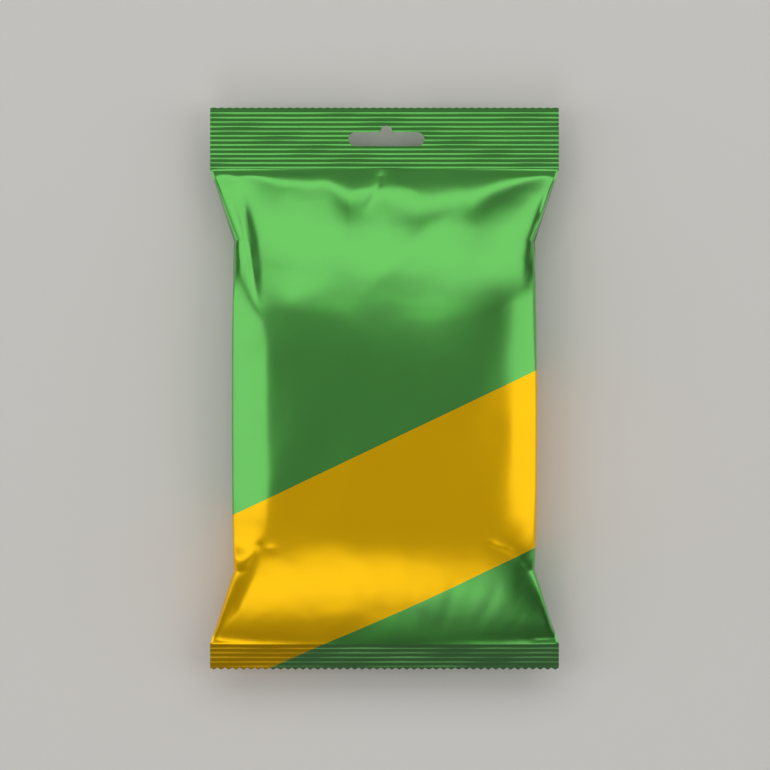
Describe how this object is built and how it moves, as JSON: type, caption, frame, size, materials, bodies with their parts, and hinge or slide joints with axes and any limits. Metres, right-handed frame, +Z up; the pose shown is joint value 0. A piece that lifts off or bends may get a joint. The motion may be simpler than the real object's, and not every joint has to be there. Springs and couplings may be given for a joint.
{
  "type": "bag of crisps",
  "caption": "Shut, filled pillow bag of metallised film, crimped flat at both ends, with a hang slot in the wide top seal",
  "frame": {"origin": "centre of the bag's outline, on the table that it lies on", "axes": "X runs across the bag, Y runs up the bag to the hang slot, Z points up from the table through the printed front"},
  "size_m": [0.147, 0.237, 0.0375],
  "materials": {
    "printed_film": "metallised green film with a slanted yellow band, satin sheen"
  },
  "bodies": {
    "root": {"bag": "printed_film"}
  },
  "joints": []
}
